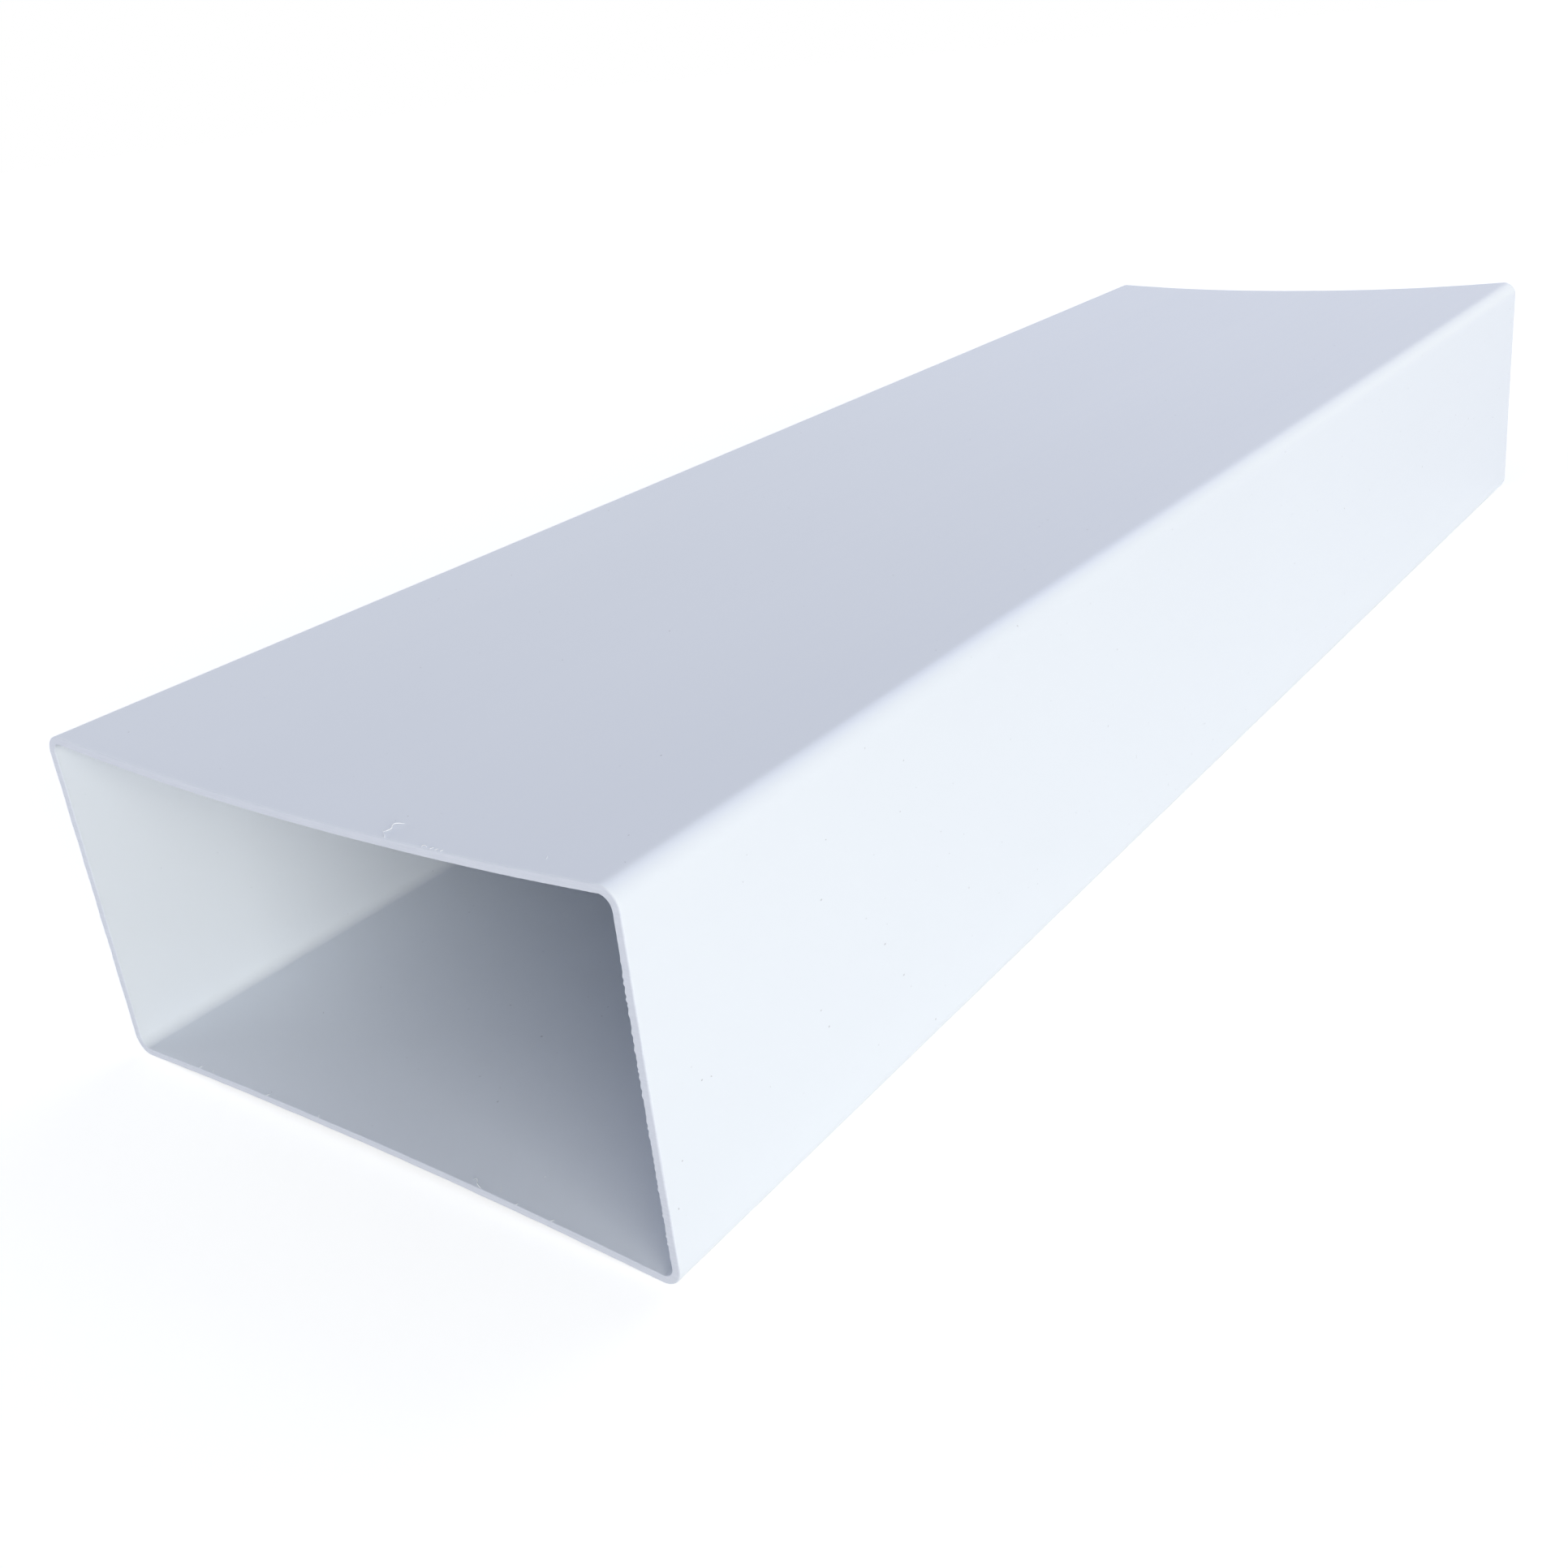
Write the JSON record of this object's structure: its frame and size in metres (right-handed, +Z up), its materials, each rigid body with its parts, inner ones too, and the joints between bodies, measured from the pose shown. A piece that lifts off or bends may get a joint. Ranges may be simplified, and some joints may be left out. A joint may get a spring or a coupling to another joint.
{
  "type": "flat channel duct",
  "caption": "Straight length of rectangular ventilation duct: a thin-walled white PVC flat channel, open at both ends, that carries air between fittings.",
  "frame": {"origin": "under the middle of the duct, at the level it rests on", "axes": "+X along the airway, +Y across the width, +Z up through the height"},
  "size_m": [0.35, 0.11, 0.054],
  "materials": {
    "white_pvc": "satin"
  },
  "bodies": {
    "root": {"flat_channel": "white_pvc"}
  },
  "joints": []
}
